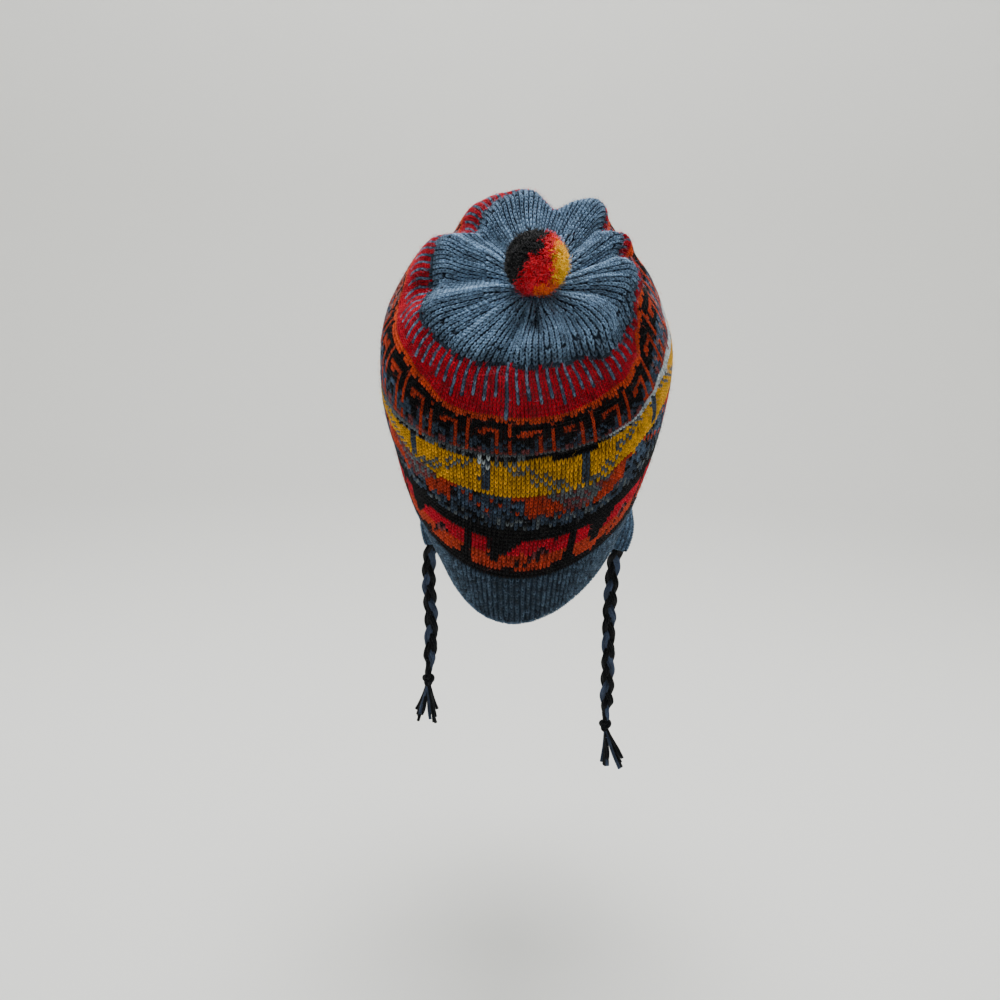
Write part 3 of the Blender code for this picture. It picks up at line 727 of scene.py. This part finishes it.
tie_black, tie_blue = linear("0B0D11"), linear("374257")
tie_diameter, braid_repeat, strand_swing, strand_weave = 0.0078, 0.035, 0.0024, 0.0014
ply_radius, ply_repeat, tucked_in = 0.0011, 0.009, 0.0045
tie_routes = {
    "left": [
        (0.000, 0.000, 0.000), (-0.001, 0.004, -0.006), (-0.003, 0.007, -0.016), (-0.003, 0.007, -0.034),
        (-0.001, 0.007, -0.056), (-0.001, 0.007, -0.076), (-0.002, 0.007, -0.096),
    ],
    "right": [
        (0.000, 0.000, 0.000), (0.000, 0.004, -0.006), (-0.001, 0.007, -0.016), (-0.002, 0.007, -0.036),
        (-0.002, 0.007, -0.062), (-0.001, 0.007, -0.092), (-0.001, 0.007, -0.124),
    ],
}
for side, label, lean in ((-1, "left", -0.001), (1, "right", 0.006)):
    tip = flap(side, np.zeros(1), np.ones(1))[0]
    start = tip - np.array([side * 0.0015, 0, 0]) + 0.0016 * hang_direction()
    centre, length = smooth_line(np.array(tie_routes[label]) + start, 120)
    run = np.concatenate([np.linspace(-tucked_in, -0.0006, 8), np.linspace(0, length, 120)])
    drawn = np.concatenate([centre[0] + run[:8, None] * hang_direction(), centre])
    strands, yarns = [], []
    for k in range(3):
        phase = 2 * np.pi * (run / braid_repeat + k / 3)
        narrow = np.clip((length - run) / 0.012, 0.5, 1) * np.interp(run, [-tucked_in, 0.004], [0.45, 1])
        sideways, depth = strand_swing * narrow * np.sin(phase), strand_weave * np.sin(2 * phase)
        line = drawn + sideways[:, None] * np.array([1, 0, 0]) + depth[:, None] * np.array([0, -1, 0])
        for ply in range(4):
            lay = ply * np.pi / 2 + run / ply_repeat + k
            offset = np.stack([np.cos(lay), np.sin(lay), 0 * run], axis=1) * (0.0014 * narrow)[:, None]
            strands.append(tube(line + offset, ply_radius * narrow**0.5, 8))
            yarns.append((tie_black if k < 2 else tie_blue) * chance.uniform(0.7, 1.3))
    tie = joined_tubes(f"{label}_braid", strands, yarns, braid_yarn)
    knot = centre[-1] - np.array([0, 0, 0.0038])
    turn = np.linspace(0, 2 * np.pi, 90)
    bend = np.stack([
        np.sin(turn) + 2 * np.sin(2 * turn), 0.8 * -np.sin(3 * turn), 1.2 * (np.cos(turn) - 2 * np.cos(2 * turn))
    ], axis=1) * 0.00095
    tubes, tones = [tube(knot + bend, 0.0017, 8)], [tie_black]
    for index in range(18):
        way = (-0.25 + index % 9 * 0.06 + index // 9) * np.pi
        reach = chance.uniform(0.003, 0.008)
        fall = chance.uniform(0.021, 0.03)
        share = np.linspace(0, 1, 14)[:, None]
        wave = 0.0009 * np.sin(share * chance.uniform(4, 9) + index)
        line = knot + share * np.array([lean, 0, -fall]) + share**1.3 * reach * np.array([np.cos(way), np.sin(way), 0])
        line = line + wave * share * np.array([np.sin(way), -np.cos(way), 0])
        tubes.append(tube(line, np.linspace(0.0012, 0.0011, 14), 6))
        tones.append((tie_blue if index % 4 == 0 else tie_black) * chance.uniform(0.7, 1.2))
    tassel = joined_tubes(f"{label}_tassel_strands", tubes, tones, braid_yarn)
    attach(tie, "root")
    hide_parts(f"{label}_tie")
    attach(tassel, "root")
    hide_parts(f"{label}_tassel")


# The pompom: a ball of short curly wool ends, black, red, orange and yellow in stripes across it. It sits on the
# gathered point of the top.
pompom_yarn = wool("pompom wool", 2, 0.0003, sheen=0.1)
seat = wall(np.arange(0, 360, 10), 90).mean(axis=0)
tipped = math.radians(float(section(90, "slope")))
outward = np.array([0, -math.sin(tipped), math.cos(tipped)])
pompom_radius = 0.0158
middle = seat + outward * (pompom_radius + 0.0003)
count = 5200
height = 1 - 2 * (np.arange(count) + 0.5) / count
turn = math.pi * (1 + 5**0.5) * np.arange(count)
away = np.stack([np.sqrt(1 - height**2) * np.cos(turn), np.sqrt(1 - height**2) * np.sin(turn), height], axis=1)
away += chance.normal(0, 0.06, away.shape)
away /= np.linalg.norm(away, axis=1, keepdims=True)
tips = np.stack([away @ np.array(right), -(away @ np.array(upward))], axis=1) + chance.normal(0, 0.045, (count, 2))
black = (tips @ np.array([0.85, 0.525]) < -0.2) | (np.hypot(tips[:, 0] + 0.02, tips[:, 1] + 0.3) < 0.25)
orange = (tips[:, 0] > 0.45) & (tips[:, 1] > -0.7) | (tips[:, 1] > 0.84) & (tips[:, 0] > 0)
tone = np.where(black[:, None], linear("0B0C0F"), linear("D8102A"))
tone = np.where((orange & ~black)[:, None], linear("F2681C"), tone)
tone = np.where(((tips[:, 0] > 0.56) & (tips[:, 1] > -0.5) & (tips[:, 1] < 0.66))[:, None], linear("F8BE14"), tone)
curl = np.cross(away, chance.normal(0, 1, away.shape))
curl /= np.linalg.norm(curl, axis=1, keepdims=True)
bow = np.cross(away, curl)
lump = np.sin(9 * away[:, 0] + 2) * np.sin(8 * away[:, 1] + 1) * np.sin(9 * away[:, 2])
reach = pompom_radius * (chance.uniform(0.94, 1.03, count) + 0.07 * lump)
stations = [(0.55, 0.0, 0.0), (0.8, 0.0009, 0.0), (0.95, 0.0012, 0.0011), (1.0, -0.0002, 0.0016)]
lines = np.stack([
    middle + away * (reach * share)[:, None] + curl * a + bow * b for share, a, b in stations
], axis=1)
turns = np.radians([-90, 0, 90, 180])
rings = lines[:, 1:3, None] + 0.00042 * (
    np.cos(turns)[:, None] * curl[:, None, None] + np.sin(turns)[:, None] * bow[:, None, None]
)
points = np.concatenate([lines[:, :1], rings[:, 0], rings[:, 1], lines[:, 3:]], axis=1)
k, after = np.arange(4), np.roll(np.arange(4), -1)
first = (np.arange(count) * 10)[:, None, None]
faces = [
    (first + np.stack([1 + k, 1 + after, 5 + after, 5 + k], axis=1)).reshape(-1, 4),
    (first + np.stack([1 + after, 1 + k, 0 * k], axis=1)).reshape(-1, 3),
    (first + np.stack([5 + k, 5 + after, 0 * k + 9], axis=1)).reshape(-1, 3),
]
# The tufts' colour darkens from tip to root: painted shade deep inside the ball.
painted_shade = np.concatenate([[0.3], np.full(4, 0.7), np.full(4, 1.0), [1.05]])
shades = tone[:, None] * painted_shade[None, :, None] * np.exp(chance.normal(0, 0.1, (count, 1, 1)))
pompom = mesh_object("pompom_pile", points, faces, shades, pompom_yarn)
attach(pompom, "root")
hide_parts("pompom")


# The halo: loose fibres that stand off the spun wool everywhere, lighter than the yarn that they leave as a painted
# sheen. They are drawn 0.1 mm thick, five times the real ones, so that they show.
def hairs(name, place, sideways, outward, colour, length):
    """Bent fibres as one mesh, each a closed sliver: a root, a ring of three points at its bend, and a tip."""
    count = len(place)
    turn = chance.uniform(0, 2 * np.pi, (count, 1))
    lying = sideways * np.cos(turn) + np.cross(outward, sideways) * np.sin(turn)
    reach = length * chance.uniform(0.45, 1.0, (count, 1)) ** 2
    bend = place + outward * reach * chance.uniform(0.3, 0.6, (count, 1)) + lying * reach * 0.3
    tip = bend + outward * reach * chance.uniform(-0.15, 0.4, (count, 1)) + lying * reach * 0.6
    one, two = np.cross(lying, outward), outward - lying * 0.5
    thin = 0.00005
    ring = [bend + thin * (math.cos(a) * one + math.sin(a) * two) for a in (0, 2.09, 4.19)]
    points = np.stack([place - outward * 0.0003, *ring, tip], axis=1)
    faces = np.array([(0, 2, 1), (0, 3, 2), (0, 1, 3), (4, 1, 2), (4, 2, 3), (4, 3, 1)])
    # The fibres' yarn colour is lightened: painted sheen.
    tone = np.repeat(colour * 1.3 + 0.03, 5, axis=0)
    return mesh_object(name, points, [((np.arange(count) * 5)[:, None, None] + faces).reshape(-1, 3)], tone, halo)


halo = wool("loose wool fibres", 0, 0.0001, sheen=0.2)
wale, course = chance.uniform(0, wales, 13000), chance.uniform(border_courses, 88, 13000)
letters = pattern(wale.astype(int), course.astype(int))
letters[course >= top_course] = "S"
halos = [("crown_halo", "crown", "patterned_knit", hairs(
    "crown_halo", *cloth_frame(body, wale, course), yarn_colours(letters), 0.0045
))]
wale, course = chance.uniform(0, ribs, 2500), chance.uniform(0, rib_rows, 2500)
halos.append(("border_halo", "ribbed_border", "slate_blue_rib", hairs(
    "border_halo", *cloth_frame(rib, wale, course), np.broadcast_to(YARN["S"] * 0.8, (2500, 3)), 0.0038
)))
pick = chance.integers(0, count, 2500)
halos.append(("pompom_halo", "pompom", "pompom_yarn", hairs(
    "pompom_halo", middle + away[pick] * reach[pick, None], curl[pick], away[pick], tone[pick], 0.0028
)))
for name, node, slot, piece in halos:
    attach(piece, "root")
    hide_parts(node)
crown_pieces.append(halos[0][3])


# The stage: a wide round pale floor that curves up into a backdrop on all sides, lit softly from above and from both
# sides, with one more light on the backdrop.
def matt(name, colour):
    """Plain matt paper."""
    material = bpy.data.materials.new(name)
    material.use_nodes = True
    shader = material.node_tree.nodes["Principled BSDF"]
    shader.inputs["Base Color"].default_value = (*linear(colour), 1)
    shader.inputs["Roughness"].default_value = 0.9
    return material


turn = np.linspace(0, np.pi / 2, 13)
profile = np.concatenate([
    [(0.0, 0), (0.8, 0)], np.stack([1.9 + 0.8 * np.sin(turn), 0.8 - 0.8 * np.cos(turn)], axis=1), [(2.7, 3.2)]
])
spokes, floor = 72, -0.42
spoke = np.arange(spokes)
around = spoke * np.pi / 36
sweep = np.concatenate([
    np.column_stack([r * np.cos(around), r * np.sin(around), np.full(spokes, z + floor)]) for r, z in profile[1:]
] + [[(0, 0, floor)]])
r, c = np.meshgrid(np.arange(len(profile) - 2) * spokes, spoke, indexing="ij")
r, c, n = r.ravel(), c.ravel(), (c.ravel() + 1) % spokes
sides = np.stack([r + c, r + n, r + spokes + n, r + spokes + c], axis=1)[:, ::-1]
centre_fan = np.stack([spoke, (spoke + 1) % spokes, 0 * spoke + len(sweep) - 1], axis=1)
stage = mesh_object("backdrop", sweep, [sides, centre_fan], np.ones((len(sweep), 3)), matt("pale paper", "E4E4E0"))
stage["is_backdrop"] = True


def soft_light(name, place, target, size, watts, colour=(1, 1, 1)):
    """A large square light that faces a point."""
    light = bpy.data.lights.new(name, "AREA")
    light.size, light.energy, light.color = size, watts, colour
    obj = bpy.data.objects.new(name, light)
    obj.location = place
    obj.rotation_euler = (Vector(target) - Vector(place)).to_track_quat("-Z", "Y").to_euler()
    bpy.context.scene.collection.objects.link(obj)


soft_light("above", (0.0, -0.05, 1.1), (0, 0.02, -0.05), 0.7, 21)
soft_light("left", (-1.0, 0.1, 0.6), (0, 0.05, -0.08), 0.8, 6, (0.97, 0.99, 1.0))
soft_light("right", (1.0, 0.1, 0.6), (0, 0.05, -0.08), 0.8, 6, (0.97, 0.99, 1.0))
soft_light("on the backdrop", (0.0, 1.0, 2.2), (0, 2.6, 0.8), 1.5, 60)
world = bpy.data.worlds.new("studio")
world.use_nodes = True
world.node_tree.nodes["Background"].inputs[0].default_value = (0.9, 0.92, 0.95, 1)
world.node_tree.nodes["Background"].inputs[1].default_value = 0.2
bpy.context.scene.world = world

corners += [list(corner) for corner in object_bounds()]
